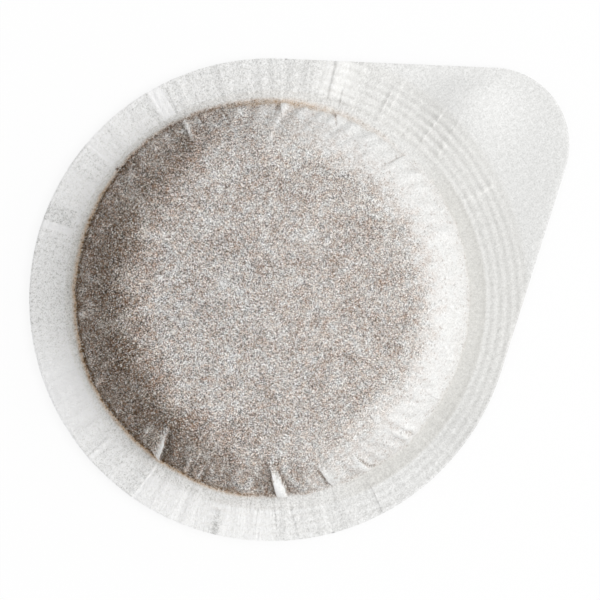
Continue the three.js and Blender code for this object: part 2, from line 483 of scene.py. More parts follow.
def filter_paper(name):
    """Finish of a sheet: bare paper, the coffee behind it, a fine fuzz that makes single fibres lighter or
    darker, the dust in the crease and the painted shadow of the crevices, over a relief of fibres and
    mottle."""
    material, start, shader = new_material(name)
    mark = sheet_marks(start)
    fibres = fibre_tangle(mark.sheet)
    grain = mark.sheet.cells(*GRAIN) - 0.5
    streaks = (mark.turned.noise(*STREAKS) - 0.5) * mark.radial
    open_fibre = mark.rough * mark.layers.step(*LAYERS_SHUT)

    paper = bare_paper(mark, fibres, grain, streaks, open_fibre)
    colour = coffee_behind(mark, paper, fibres, grain, streaks)
    fuzz = PAPER_FUZZ * mark.rough * open_fibre + COFFEE_FUZZ * mark.coffee.step(*COFFEE_FUZZ_RANGE)
    colour = colour.scaled(1 + fuzz * (mark.sheet.cells(*FUZZ) - 0.5))
    colour = colour.node("VectorMath", {"operation": "MINIMUM"}, {0: colour, 1: WHITEST})
    colour = crease_dust(mark, colour)
    # Painted shadow in the crevices
    crevice = mark.crevice * (CREVICE_SHARE + CREVICE_GRAIN * grain)
    join(crevice.tint(colour, CREVICE_SHADOW), shader, "Base Color")

    height = FIBRE_RELIEF * fibres + STREAK_RELIEF * streaks + mark.sheet.swell(RELIEF) - RELIEF_BASE
    bump = {"Strength": 1.0, "Distance": RELIEF_DEPTH, "Height": height * mark.rough}
    join(start.node("Bump", None, bump), shader, "Normal")
    shader.inputs["Roughness"].default_value = PAPER_ROUGHNESS
    shader.inputs["Specular IOR Level"].default_value = PAPER_SPECULAR
    return material


# The lower sheet itself: rows from the axis to the belly's edge, to the seal, over the ridges, to the tab
LOWER_COLUMNS = 480
LOWER_ROWS = (12, 20, 12)
LOWER_RIDGE_STEPS = 8
LOWER_INNER_ROWS = 24
LOWER_ROW_GAP = 0.3 * MM
LOWER_SWELL = Wave(0.03 * MM, 4 * MM, 5)
LOWER_SWELL_FADE = 0.8 * MM
LOWER_EDGE_LIFT = 0.04 * MM
LOWER_COFFEE = 0.6
LOWER_COFFEE_FADE = 1.5 * MM
LOWER_DUST = Wave(0.16, 11 * MM, 81)
LOWER_DUST_WIDTH = 0.5 * MM
LOWER_RING_RISE = 1.0 * MM
LOWER_RING_FADE = 0.3 * MM
STREAK_DRAW = 0.15

lower_rows = np.concatenate([
    np.linspace(0, BELLY_RADIUS - 2 * LOWER_ROW_GAP, LOWER_ROWS[0]),
    np.linspace(BELLY_RADIUS - LOWER_ROW_GAP, SEAL_START, LOWER_ROWS[1]),
    np.arange(SEAL_START, ridge_end, RIDGE_PITCH / LOWER_RIDGE_STEPS)[1:],
    np.linspace(ridge_end, sheet_end, LOWER_ROWS[2]),
])
lower_angle = np.linspace(0, 2 * np.pi, LOWER_COLUMNS, endpoint=False)
radius, angle, at_edge = polar_grid(lower_rows, lower_angle)
x = radius * np.cos(angle)
y = radius * np.sin(angle)
belly = belly_depth * smooth(radius, BELLY_RADIUS, PUCK_RADIUS)
swell = LOWER_SWELL.height + np.clip(ripple(x, y, LOWER_SWELL), -LOWER_SWELL.height, LOWER_SWELL.height)
patch = LOWER_DUST.height + np.clip(ripple(x, y, LOWER_DUST), -LOWER_DUST.height, LOWER_DUST.height)
lift = swell * smooth(radius, BELLY_RADIUS - LOWER_SWELL_FADE, PUCK_RADIUS) + LOWER_EDGE_LIFT * at_edge
below = belly + lift - RIDGE_HEIGHT * seal_ridges(radius, angle) * (1 - at_edge)
lower_below = around(radius, angle, below)
inner = np.linspace(0, len(radius) - 1, LOWER_INNER_ROWS).astype(int)
lower_above = around(radius[inner], angle[inner], belly[inner] + PAPER)
ring = smooth(radius, PUCK_RADIUS - LOWER_RING_RISE, PUCK_RADIUS)
ring = ring * (1 - smooth(from_jaw(radius, angle), RING_END, RING_END + LOWER_RING_FADE))
lower_marks = {
    "sheet": around(radius, angle, 0) / MM,
    "turned": around(np.full_like(radius, PUCK_RADIUS), angle, STREAK_DRAW * radius) / MM,
    "coffee": LOWER_COFFEE * (1 - smooth(radius, BELLY_RADIUS + LOWER_COFFEE_FADE, PUCK_RADIUS)),
    "dust": patch * np.exp(-(((radius - PUCK_RADIUS) / LOWER_DUST_WIDTH) ** 2)),
    "ring": ring,
    "crevice": np.zeros_like(radius),
    "layers": np.zeros_like(radius),
    "rough": np.ones_like(radius),
    "radial": smooth(radius, BELLY_RADIUS, PUCK_RADIUS),
}
lower_marks = {name: np.concatenate([mark[inner], mark[::-1]]) for name, mark in lower_marks.items()}
lower_paper = sheet_object("lower_paper", lower_above, lower_below, lower_marks)
lower_paper.data.materials.append(filter_paper("filter_paper_lower"))
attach(lower_paper, "root")
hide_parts("lower_filter_paper")


# Upper filter paper. The same paper drawn over the coffee by a cup die, so its wall is gathered in small
# tucks and its flange is pleated, all pressed flat by the ridged jaw that seals it to the lower paper.
# The coffee lies close behind the crown and the far wall, and stands off the wall on the lit side.
WALL_ANGLE = math.radians(63)
SHOULDER_RADIUS = 4.5 * MM
CROWN_RISE = 0.4 * MM
CREASE_ROUND = 0.16 * MM

upper_low, upper_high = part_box("upper_filter_paper")
flange_top = upper_low.z + PAPER
crown_edge = upper_high.z - CROWN_RISE
wall_top = crown_edge - SHOULDER_RADIUS * (1 - math.cos(WALL_ANGLE))
wall_top_radius = PUCK_RADIUS - (wall_top - flange_top) / math.tan(WALL_ANGLE)
crown_radius = wall_top_radius - SHOULDER_RADIUS * math.sin(WALL_ANGLE)


def cup_height(radius):
    """Height of the drawn sheet: a shallow dome, then an arc, then a straight wall; the larger of the wall
    and the flange, softened, rounds the crease between them."""
    dome = crown_edge + CROWN_RISE * (1 - (radius / crown_radius) ** 2)
    reach = np.clip(radius - crown_radius, 0, SHOULDER_RADIUS)
    arc = crown_edge - SHOULDER_RADIUS + np.sqrt(SHOULDER_RADIUS**2 - reach**2)
    wall = wall_top - (radius - wall_top_radius) * math.tan(WALL_ANGLE)
    cup = np.where(radius < crown_radius, dome, np.where(radius < wall_top_radius, arc, wall))
    apart = cup - flange_top
    return flange_top + 0.5 * (apart + np.sqrt(apart**2 + CREASE_ROUND**2))


def across(angle, degrees, radius):
    """Distance along a circle from a direction, positive counter-clockwise."""
    apart = angle - np.radians(degrees)
    return np.arctan2(np.sin(apart), np.cos(apart)) * radius


# What varies with direction is written as a tuple of what bell or facing takes after the angle
FLAT_TOP = 4


def bell(angle, amount, middle, half, power=2):
    """Bell curve of direction: an amount times the exponential of minus a power of the distance from the
    middle over the half width, both given in degrees."""
    return amount * np.exp(-((across(angle, middle, 1) / math.radians(half)) ** power))


def facing(angle, amount, side, low, high):
    """Amount that comes in as a direction turns towards a side, given in degrees: the amount times a smooth
    step of the cosine of the angle between them, from low to high."""
    return amount * smooth(np.cos(angle - math.radians(side)), low, high)


# Where the crease strays from a circle: angle from the tab and half width in degrees, how far out in mm
CREASE_STRAYS = [
    (25, 14, -0.06),
    (92, 24, 0.42),
    (168, 12, 0.20),
    (222, 9, 0.28),
    (235, 7, 0.15),
    (246, 5, 0.12),
    (274, 9, 0.20),
    (335, 25, -0.06),
]
CREASE_RIPPLE = Wave(0.05, 3 * MM, 61)
STRAY_FADES = (1.0 * MM, 0.3 * MM)


def crease_stray(radius, angle):
    """How far the wall's foot strays outwards: a bell curve of direction for each stray, and a small
    ripple. It fades towards the crown and towards the seal."""
    stray = ripple(PUCK_RADIUS * np.cos(angle), PUCK_RADIUS * np.sin(angle), CREASE_RIPPLE)
    for middle, half, out in CREASE_STRAYS:
        stray = stray + bell(angle, out, middle, half)
    from_crown = smooth(radius, crown_radius, PUCK_RADIUS - STRAY_FADES[0])
    to_seal = 1 - smooth(radius, PUCK_RADIUS + STRAY_FADES[1], RING_END)
    return stray * from_crown * to_seal * MM


class Tuck(NamedTuple):
    """Small fold in the wall: angle from the tab in degrees at the crease and at the top end, radius of
    that end, width of the flat top and of the flank to either side, height, how far it leans over, share of
    the coffee that it hides, and how dark the painted shadow in the crevice is on either side. Lengths are
    in mm."""

    foot: float
    head: float
    end: float
    flat: float
    clockwise: float
    counter: float
    height: float
    lean: float = 0.0
    hides: float = 0.0
    dark_clockwise: float = 0.0
    dark_counter: float = 0.0


TUCKS = [
    Tuck(11.6, 15.6, 18.3, 0.0, 1.0, 0.12, 0.08, 0.1, 0.3, 0.0, 0.15),
    Tuck(35.8, 33.6, 20.2, 0.1, 1.3, 0.30, 0.12, 0.1, 0.5, 0.0, 0.5),
    Tuck(52.4, 52.0, 20.2, 0.1, 0.6, 0.12, 0.24, 0.1, 0.3, 0.0, 0.4),
    Tuck(54.2, 54.6, 20.4, 0.1, 0.12, 0.6, 0.22, 0.0, 0.3, 0.4, 0.0),
    Tuck(71.2, 69.6, 19.4, 0.2, 0.20, 0.4, 0.30, 0.0, 0.5, 1.0, 0.0),
    Tuck(77.6, 77.8, 19.7, 0.15, 0.15, 0.3, 0.26, 0.0, 0.5, 0.6, 0.0),
    Tuck(81.3, 81.8, 18.6, 0.15, 0.20, 0.30, 0.30, 0.0, 0.8, 0.0, 1.0),
    Tuck(98.0, 98.5, 19.5, 0.1, 0.8, 0.6, 0.10, 0.0, 0.1),
    Tuck(122.7, 122.7, 16.6, 0.0, 1.0, 0.4, 0.12, 0.0, 0.1),
    Tuck(150.0, 151.0, 18.0, 0.0, 1.0, 0.6, 0.10, 0.0, 0.1),
    Tuck(172.0, 171.0, 19.0, 0.0, 0.8, 0.5, 0.12, 0.0, 0.1),
    Tuck(199.8, 194.8, 16.9, 0.2, 1.3, 0.12, 0.60, 0.25, 1.0, 0.0, 2.2),
    Tuck(208.5, 207.5, 19.3, 0.1, 0.5, 0.5, 0.30, 0.0, 0.6, 0.0, 0.4),
    Tuck(213.0, 212.0, 19.6, 0.1, 0.6, 0.3, 0.28, 0.0, 0.6, 0.0, 0.4),
    Tuck(227.0, 226.5, 20.2, 0.4, 0.6, 0.6, 0.14, 0.0, 0.4),
    Tuck(238.3, 233.9, 17.4, 1.15, 0.20, 0.22, 0.60, 0.0, 1.0, 1.2, 1.0),
    Tuck(253.4, 250.0, 18.8, 0.4, 0.26, 1.7, 0.09, -0.1, 0.9, 1.4, 0.0),
    Tuck(264.3, 261.0, 19.3, 0.3, 1.0, 0.12, 0.42, 0.2, 0.8, 0.0, 0.5),
    Tuck(278.0, 277.0, 19.8, 0.0, 0.25, 0.6, 0.09, 0.0, 0.4, 0.1, 0.0),
    Tuck(281.7, 280.0, 19.2, 0.1, 0.35, 1.0, 0.10, 0.0, 0.6, 0.25, 0.0),
    Tuck(294.0, 293.4, 19.6, 0.0, 0.12, 0.8, 0.14, 0.0, 0.3),
    Tuck(305.5, 305.5, 20.0, 0.0, 0.12, 0.8, 0.10, 0.0, 0.3),
    Tuck(321.0, 321.0, 19.6, 0.0, 0.5, 0.5, 0.06, 0.0, 0.1),
    Tuck(343.0, 343.0, 19.6, 0.0, 0.5, 0.5, 0.06, 0.0, 0.1),
]
TUCK_WOBBLE = Wave(0.10, 2.2 * MM, 31)
TUCK_WOBBLE_TURN = 5 * MM
TUCK_NARROWS = 0.55
TUCK_FULL = 0.45
TUCK_FOOT = (0.5 * MM, 0.3 * MM)
CREVICE_OUT = 0.12
CREVICE_HALF = 0.2
CREVICE_LEANS = 0.6


def tucks(radius, angle):
    """Push of the tucks along the wall's normal, their shift to the side, how much coffee they hide and how
    dark the painted shadow in their crevices is. Each leans from its foot to its top end and narrows
    towards it, like a dart; past the flat top its flanks fall as the exponential of minus the square of the
    distance over the flank's width, and the painted shadow of a crevice is a narrow bell curve at the
    bottom of its flank."""
    push, shift, bare, dark = np.zeros((4, *radius.shape))
    wobble = ripple(radius, TUCK_WOBBLE_TURN * angle, TUCK_WOBBLE)
    at_foot = 1 - smooth(radius, PUCK_RADIUS - TUCK_FOOT[0], PUCK_RADIUS + TUCK_FOOT[1])
    for tuck in TUCKS:
        share = np.clip((PUCK_RADIUS - radius) / (PUCK_RADIUS - tuck.end * MM), 0, 1)
        middle = tuck.foot + (tuck.head - tuck.foot) * share
        gap = (across(angle, middle, radius) / MM + wobble) / (1 - TUCK_NARROWS * share)
        past = np.maximum(np.abs(gap) - tuck.flat / 2, 0)
        ridge = np.exp(-((past / np.where(gap < 0, tuck.clockwise, tuck.counter)) ** 2))
        fade = smooth(share, 1.0, TUCK_FULL) * at_foot
        push = np.maximum(push, tuck.height * MM * ridge * fade)
        shift = shift + tuck.lean * MM * ridge * fade
        bare = np.maximum(bare, tuck.hides * ridge**2 * fade)
        one = tuck.flat / 2 + tuck.clockwise + CREVICE_OUT - CREVICE_LEANS * min(tuck.lean, 0)
        other = tuck.flat / 2 + tuck.counter + CREVICE_OUT + CREVICE_LEANS * max(tuck.lean, 0)
        crevice = tuck.dark_clockwise * np.exp(-(((gap + one) / CREVICE_HALF) ** 2))
        crevice = crevice + tuck.dark_counter * np.exp(-(((gap - other) / CREVICE_HALF) ** 2))
        dark = np.maximum(dark, crevice * fade)
    return push, shift, bare, dark


class Pleat(NamedTuple):
    """Edge of a pleat in the flange: angle from the tab in degrees at the inner and the outer end, radii of
    those ends, side that lies on top (1 is counter-clockwise), widths of its slope and of the drop, and
    height, in mm."""

    inner: float
    outer: float
    start: float
    end: float
    side: int
    slope: float
    drop: float
    height: float


PLEATS = [
    Pleat(39.6, 40.1, 24.0, 28.4, -1, 2.0, 0.16, 0.22),
    Pleat(35.8, 36.3, 22.9, 24.9, -1, 1.4, 0.16, 0.22),
    Pleat(82.0, 82.0, 24.0, 26.6, -1, 1.6, 0.16, 0.12),
    Pleat(86.2, 86.2, 24.6, 27.5, 1, 1.6, 0.16, 0.12),
    Pleat(105.7, 105.7, 24.2, 27.5, 1, 1.4, 0.2, 0.09),
    Pleat(112.0, 112.0, 24.0, 27.5, -1, 1.4, 0.3, 0.08),
    Pleat(125.3, 125.3, 24.0, 27.6, 1, 2.2, 0.2, 0.18),
    Pleat(141.0, 141.0, 25.4, 27.6, 1, 1.5, 0.2, 0.08),
    Pleat(185.2, 185.6, 24.6, 27.6, 1, 0.6, 0.16, 0.18),
    Pleat(200.0, 199.6, 23.2, 27.6, -1, 1.0, 0.16, 0.20),
    Pleat(204.5, 204.9, 26.0, 27.6, -1, 1.2, 0.16, 0.09),
    Pleat(220.3, 220.0, 24.0, 27.6, 1, 1.8, 1.0, 0.22),
    Pleat(231.0, 230.6, 23.8, 26.4, 1, 0.8, 0.16, 0.08),
    Pleat(235.5, 236.0, 23.6, 25.5, 1, 0.6, 0.16, 0.12),
    Pleat(240.0, 241.4, 23.6, 27.8, 1, 1.4, 0.16, 0.16),
    Pleat(246.5, 247.6, 25.2, 27.6, -1, 1.2, 0.16, 0.09),
    Pleat(262.6, 262.2, 23.1, 27.4, 1, 1.8, 0.16, 0.15),
    Pleat(351.0, 352.7, 24.2, 28.2, 1, 0.5, 0.45, 0.16),
    Pleat(5.8, 8.7, 24.6, 29.4, 1, 0.5, 0.16, 0.24),
    Pleat(11.5, 12.6, 24.4, 28.6, 1, 0.5, 0.16, 0.24),
    Pleat(23.4, 23.6, 24.8, 27.2, 1, 0.4, 0.16, 0.17),
    Pleat(25.0, 25.2, 24.8, 27.2, 1, 0.4, 0.16, 0.17),
]
PLEAT_START_FADE = 0.4
PLEAT_END_FADE = (0.2, 0.6)
PLEAT_END_LOSS = 0.7
PLEAT_REACH = 6


def pleats(radius, angle):
    """Lift of the pleats: from each edge the side on top slopes down as an exponential of its distance, and
    the edge itself is a short smooth drop; it fades in and out at the two ends."""
    lift = np.zeros_like(radius)
    out = radius / MM
    for pleat in PLEATS:
        share = np.clip((out - pleat.start) / (pleat.end - pleat.start), 0, 1)
        gap = pleat.side * across(angle, pleat.inner + (pleat.outer - pleat.inner) * share, out)
        strip = smooth(gap, -pleat.drop, 0) * np.exp(-np.maximum(gap, 0) / pleat.slope)
        fade = smooth(out, pleat.start - PLEAT_START_FADE, pleat.start + PLEAT_START_FADE)
        end = smooth(out, pleat.end - PLEAT_END_FADE[0], pleat.end + PLEAT_END_FADE[1])
        fade = fade * (1 - PLEAT_END_LOSS * end)
        lift = lift + pleat.height * MM * strip * fade * (np.abs(gap) < PLEAT_REACH)
    return lift


class Strip(NamedTuple):
    """Strip of the flange where a pleat's layers show: angles of its sides from the tab in degrees, radii
    of its ends in mm, its shade, below 0 for grey and above for white, and the fade of its sides in mm."""

    first: float
    last: float
    start: float
    end: float
    shade: float
    soft: float = 0.12


STRIPS = [
    Strip(33.4, 43.4, 23.9, 28.3, 0.95, 1.0),
    Strip(61.0, 65.5, 24.4, 27.5, 0.2),
    Strip(351.5, 352.2, 24.3, 28.2, 0.6, 0.15),
    Strip(83.0, 86.6, 23.6, 27.8, 1.4),
    Strip(83.9, 84.6, 23.6, 27.8, -0.5),
    Strip(86.6, 90.0, 24.2, 27.8, -0.3, 0.5),
    Strip(104.6, 106.0, 23.2, 27.8, 0.3),
    Strip(106.0, 111.8, 24.2, 27.8, -0.45, 0.3),
    Strip(121.5, 126.0, 24.5, 27.8, -0.9, 0.2),
    Strip(126.2, 127.6, 24.3, 27.8, 2.2),
    Strip(185.8, 186.6, 24.6, 27.8, 0.4),
    Strip(192.4, 193.4, 24.6, 27.8, 0.5),
    Strip(197.4, 199.6, 24.0, 27.8, -0.3, 0.5),
    Strip(199.8, 200.6, 23.0, 27.8, 0.6),
    Strip(200.2, 235.0, 24.2, 27.8, 0.65, 0.4),
    Strip(219.2, 221.9, 26.2, 27.8, -0.55, 0.25),
    Strip(219.9, 221.4, 24.8, 27.8, -1.5, 0.25),
]
STRIP_START_FADE = 0.3

# Broad patches of the flange painted lighter or greyer: angle from the tab and half width in degrees, and
# # shade. Those at 110 and 168 degrees are painted light that lifts the flange where the puck's shadow
# falls.
SHADES = [
    (20, 16, 0.40),
    (110, 26, 1.0),
    (168, 14, 1.2),
    (256, 16, -0.35),
    (287, 18, -0.55),
    (333, 14, -0.12),
]


def fold_layers_and_painted_light(radius, angle, on_flange):
    """Shade of the flange where plies of paper lie on each other: strips with soft sides and ends, and bell
    curves of direction for the broad patches, which are partly painted light."""
    shade = np.zeros_like(radius)
    out = radius / MM
    for strip in STRIPS:
        half = across(np.radians(strip.last), strip.first, out) / 2
        gap = np.abs(across(angle, (strip.first + strip.last) / 2, out))
        inside = smooth(gap, half + strip.soft, half - strip.soft)
        reach = smooth(out, strip.start - STRIP_START_FADE, strip.start + STRIP_START_FADE)
        shade = shade + strip.shade * inside * reach * (out < strip.end)
    for middle, half, tone in SHADES:
        shade = shade + bell(angle, tone, middle, half) * on_flange
    return shade


# Even columns, then the margin in degrees and the number of the finer ones along each kind of fold
UPPER_COLUMNS = 500
TUCK_COLUMNS = (1.0, 14)
PLEAT_COLUMNS = (0.4, 7)
STRIP_COLUMNS = (0.3, 2)


def fan(first, last, margin, count):
    """Even directions from a margin before the lesser of two to a margin past the greater."""
    return np.linspace(min(first, last) - margin, max(first, last) + margin, count)


def fold_columns(count):
    """Even directions, with finer ones along each tuck, each edge of a pleat and each side of a strip so
    that these stay sharp."""
    even = np.linspace(0, 360, count, endpoint=False)
    folds = [fan(tuck.foot, tuck.head, *TUCK_COLUMNS) for tuck in TUCKS]
    edges = [fan(pleat.inner, pleat.outer, *PLEAT_COLUMNS) for pleat in PLEATS]
    ends = [end for strip in STRIPS for end in (strip.first, strip.last)]
    sides = [fan(end, end, *STRIP_COLUMNS) for end in ends]
    every = np.concatenate([even, *folds, *edges, *sides]) % 360
    return np.radians(np.unique(np.round(every, 2)))


# Rows of the upper sheet: over the crown, the shoulder, the wall, the crease and the ridges, then the tab
CREASE_HALF = 0.5 * MM
CROWN_ROWS = 8
SHOULDER_ROWS = 9
WALL_ROWS = 11
CREASE_ROWS = 9
UPPER_RIDGE_STEPS = 7
TAB_ROWS = 8
SLOPE_STEP = 0.01 * MM
upper_rows = np.concatenate([
    np.linspace(0, crown_radius, CROWN_ROWS),
    np.linspace(crown_radius, wall_top_radius, SHOULDER_ROWS)[1:],
    np.linspace(wall_top_radius, PUCK_RADIUS - CREASE_HALF, WALL_ROWS)[1:],
    np.linspace(PUCK_RADIUS - CREASE_HALF, PUCK_RADIUS + CREASE_HALF, CREASE_ROWS)[1:],
    np.arange(PUCK_RADIUS + CREASE_HALF, ridge_end, RIDGE_PITCH / UPPER_RIDGE_STEPS)[1:],
    np.linspace(ridge_end, sheet_end, TAB_ROWS),
])
radius, angle, at_edge = polar_grid(upper_rows, fold_columns(UPPER_COLUMNS))
x = radius * np.cos(angle)
y = radius * np.sin(angle)
height = cup_height(radius)
slope = (cup_height(radius + SLOPE_STEP) - cup_height(radius - SLOPE_STEP)) / (2 * SLOPE_STEP)
lean = np.sqrt(1 + slope**2)

# Regions of the sheet, from 0 to 1: the wall, its foot, the flange and the calm tab past it. Away goes from
# -1 on the lit side to 1 where the coffee lies closest. Creases in the wall and the flange run outwards
# with a slant, so their ripples are read at a slanted place, which hardly changes outwards.
COFFEE_SIDE = 153
WALL_FADE = 0.8 * MM
FOOT_RANGE = (18.5 * MM, 21 * MM)
TAB_RANGE = (24 * MM, 29 * MM)
CREASE_SLANT = (0.25, -0.2)
off_wall = smooth(radius, PUCK_RADIUS - WALL_FADE, PUCK_RADIUS)
on_wall = smooth(radius, crown_radius, wall_top_radius) * (1 - off_wall)
foot = smooth(radius, *FOOT_RANGE)
on_flange = smooth(radius, PUCK_RADIUS, RING_END)
calm = smooth(x, *TAB_RANGE)
away = np.cos(angle - math.radians(COFFEE_SIDE))
far = np.maximum(away, 0)
slanted = (
    PUCK_RADIUS * np.cos(angle) + CREASE_SLANT[0] * height,
    PUCK_RADIUS * np.sin(angle) + CREASE_SLANT[1] * height,
)

# Form of the wall and the crown: the tucks, a crumple that grows towards the foot and a slow swell on top
WALL_SWELL = Wave(0.07 * MM, 6 * MM, 3)
CRUMPLE = Wave(1.0, 1.7 * MM, 13)
CRUMPLE_HEIGHT = 0.06 * MM
CRUMPLE_FOOT = 0.10 * MM
CRUMPLE_LOOSE = (0.8, 0.25)
CREPE = Wave(0.025 * MM, 0.9 * MM, 17)
CROWN_SWELL = Wave(0.05 * MM, 7 * MM, 8)
push, shift, bare, dark = tucks(radius, angle)
crumple = ripple(*slanted, CRUMPLE)
loose = CRUMPLE_LOOSE[0] + CRUMPLE_LOOSE[1] * away
gathered = WALL_SWELL.height + ripple(*slanted, WALL_SWELL)
gathered = gathered + (CRUMPLE_HEIGHT + CRUMPLE_FOOT * foot) * loose * (1 + crumple)
push = push + on_wall * (gathered + ripple(*slanted, CREPE))
push = push + (1 - smooth(radius, crown_radius, PUCK_RADIUS)) * ripple(x, y, CROWN_SWELL)

# Form of the flange and the tab: the ridges, deeper by the tab's pleats and flatter on the far side, the
# pleats that they press, fine wrinkles, a slow swell and the bow of the tab
RIDGE_FAR = (-0.6, COFFEE_SIDE, -0.2, 0.7)
RIDGE_DEEP = (0.6, 24, 15)
PLEAT_PRESSED = 0.3
WRINKLES = (Wave(0.040 * MM, 1.7 * MM, 43), Wave(0.022 * MM, 0.8 * MM, 47))
FLANGE_SWELL = Wave(0.03 * MM, 9 * MM, 21)
TAB_BOW = (31.0 * MM, 5.0 * MM)
TAB_BOW_SIZE = 4.6 * MM
TAB_BOW_HEIGHT = 1.7 * MM
TAB_BOW_EDGE = 4 * MM
EDGE_DROP = 0.09 * MM
ridges = seal_ridges(radius, angle)
pressed = 1 + facing(angle, *RIDGE_FAR) + bell(angle, *RIDGE_DEEP)
lift = pleats(radius, angle) * (PLEAT_PRESSED + (1 - PLEAT_PRESSED) * ridges)
lift = lift + RIDGE_HEIGHT * pressed * ridges
lift = lift + on_flange * (1 - calm) * sum(ripple(*slanted, wave) for wave in WRINKLES)
lift = lift + on_flange * (FLANGE_SWELL.height + ripple(x, y, FLANGE_SWELL))
bow = np.hypot(x - TAB_BOW[0], y - TAB_BOW[1]) / TAB_BOW_SIZE
inward = smooth(cut_radius(angle) - radius, 0, TAB_BOW_EDGE)
lift = lift + TAB_BOW_HEIGHT * np.exp(-(bow**2)) * on_flange * inward - EDGE_DROP * at_edge

# The face below follows the cup at the paper's thickness, and at a share of it where the flange begins; it
# has fewer rows, given by their radii in mm
FLANGE_INSET = 0.5
UNDER_ROWS = (0, 8, 12, 16, 18, 20, 22, 24.2, 26, 28, 30, 34, 38)
UNDER_CREASE = (-0.5, -0.25, 0, 0.25, 0.5)
spread = radius + crease_stray(radius, angle)
upper_above = around(spread - push * slope / lean, angle + shift / PUCK_RADIUS, height + push / lean + lift)
under_rows = np.concatenate([MM * np.array(UNDER_ROWS), PUCK_RADIUS + MM * np.array(UNDER_CREASE)])
hidden = np.unique(np.searchsorted(upper_rows, np.sort(under_rows)))
hidden = np.append(hidden, len(radius) - 1)
inset = PAPER * (1 - (1 - FLANGE_INSET) * on_flange)
upper_below = around(spread + inset * slope / lean, angle, height - inset / lean)[hidden]
upper_below[..., 2] = np.where(on_flange[hidden] > 0.5, upper_low.z, upper_below[..., 2])

# Where the paper was pressed into the coffee: angle from the tab and half width in degrees, radius and half
# length in mm, and how much more coffee shows
PRESSED = [
    (84.6, 2.2, 20.6, 1.9, 0.9),
    (45.0, 22.0, 21.4, 1.0, -0.1),
    (70.5, 1.2, 21.3, 0.8, 0.6),
    (104.0, 0.7, 22.2, 0.6, 1.5),
    (126.0, 30.0, 20.9, 1.2, -0.35),
    (194.5, 2.0, 17.6, 1.0, 0.7),
    (202.5, 2.2, 20.8, 1.4, 0.6),
    (232.5, 3.0, 20.6, 1.6, 0.5),
    (243.0, 2.0, 20.4, 1.5, 0.35),
]

# Coffee behind the sheet, as the share of light that it takes: on the crown, behind the lit wall, how much
# more behind the far wall, and a band high on that wall. The change from crown to wall is ragged.
CROWN_SHARE = 0.42
LIT_WALL_SHARE = 0.03
FAR_WALL_SHARE = 0.84
FAR_WALL_RANGE = (-0.75, 1.0)
BAND_SHARE = 0.06
BAND_RADIUS = 18.8 * MM
BAND_HALF = 1.2 * MM
RAGGED = Wave(0.5 * MM, 2.2 * MM, 71)
TURN_START = (1.0 * MM, 1.6 * MM)
TURN_END = (1.0 * MM, 2.2 * MM)
CRUMPLE_COFFEE = 0.25
behind_wall = LIT_WALL_SHARE + FAR_WALL_SHARE * smooth(away, *FAR_WALL_RANGE)
behind_wall = behind_wall + BAND_SHARE * far * np.exp(-(((radius - BAND_RADIUS) / BAND_HALF) ** 2))
ragged = radius + ripple(x, y, RAGGED)
turn_start = crown_radius - TURN_START[0] - TURN_START[1] * far
turn_end = wall_top_radius + TURN_END[0] - TURN_END[1] * far
share = CROWN_SHARE + (behind_wall - CROWN_SHARE) * smooth(ragged, turn_start, turn_end)
coffee = -np.log(1 - share) * (1 - CRUMPLE_COFFEE * on_wall * foot * crumple)
for middle, half, out, reach, amount in PRESSED:
    along = np.exp(-(((radius / MM - out) / reach) ** FLAT_TOP))
    coffee = coffee + bell(angle, amount, middle, half, FLAT_TOP) * along

# Coffee that got past the crease, between the papers: angle from the tab and half width in degrees, amount
# and how far out it reaches in mm
SPILLS = [
    (44, 20, 0.05, 0.8),
    (85, 26, 0.22, 0.7),
    (105.3, 0.6, 1.2, 0.9),
    (0, 200, 0.025, 0.5),
]

# Dust in the crease, by its distance outside the puck in mm: least, how much more on the far side and
# beside the tab, and its widths inside and outside its line. Spilt coffee covers it.
DUST_LEAST = 0.03
DUST_FAR = (0.55, 142, -0.4, 0.6)
DUST_TAB = (0.14, 36, 20, FLAT_TOP)
DUST_BROAD = (0.5, 42, 22)
DUST_LINE = 0.15
DUST_INSIDE = 0.40
DUST_OUTSIDE = (0.50, 0.2)
SPILL_START = (-1.2, -0.2)
SPILL_FADE = 0.3
SPILL_COVERS = 0.6
SPILL_FULL = 4
past = (radius - PUCK_RADIUS) / MM
dusty = DUST_LEAST + facing(angle, *DUST_FAR) + bell(angle, *DUST_TAB)
beyond = past + DUST_LINE
dust_width = np.where(beyond < 0, DUST_INSIDE, DUST_OUTSIDE[0] + DUST_OUTSIDE[1] * far)
dust_width = dust_width * (1 + bell(angle, *DUST_BROAD))
dust = dusty * np.exp(-((beyond / dust_width) ** 2))
spilt = np.zeros_like(radius)
for middle, half, amount, reach in SPILLS:
    here = bell(angle, 1, middle, half, FLAT_TOP)
    reached = smooth(past, *SPILL_START) * (1 - smooth(past, SPILL_FADE * reach, reach))
    spilt = spilt + amount * here * reached
    dust = dust * (1 - SPILL_COVERS * here * min(SPILL_FULL * amount, 1))

# The ring left open between the crease and the seal, yellower where the papers are slack, and the part of
# the flange that the jaw pressed hardest, which has the same tone
SLACK_LEAST = 0.1
SLACK_LIT = (0.9, -50, 0.45, 0.75)
SLACK_FAR = (0.75, 130, 52)
SEALED_RANGE = (-0.1 * MM, 0.2 * MM)
OPEN_RANGE = (-0.2, 0.2)
JAW_TONE = (0.5, -15, 0.2, 0.9)
JAW_FADE = 1.0 * MM
sealed = smooth(from_jaw(radius, angle), RING_END + SEALED_RANGE[0], RING_END + SEALED_RANGE[1])
slack = SLACK_LEAST + facing(angle, *SLACK_LIT) + bell(angle, *SLACK_FAR)
jaw = facing(angle, *JAW_TONE) * (1 - smooth(radius, ridge_end - JAW_FADE, ridge_end))
ring = np.maximum(smooth(past, *OPEN_RANGE) * (1 - sealed) * slack, jaw * on_flange)

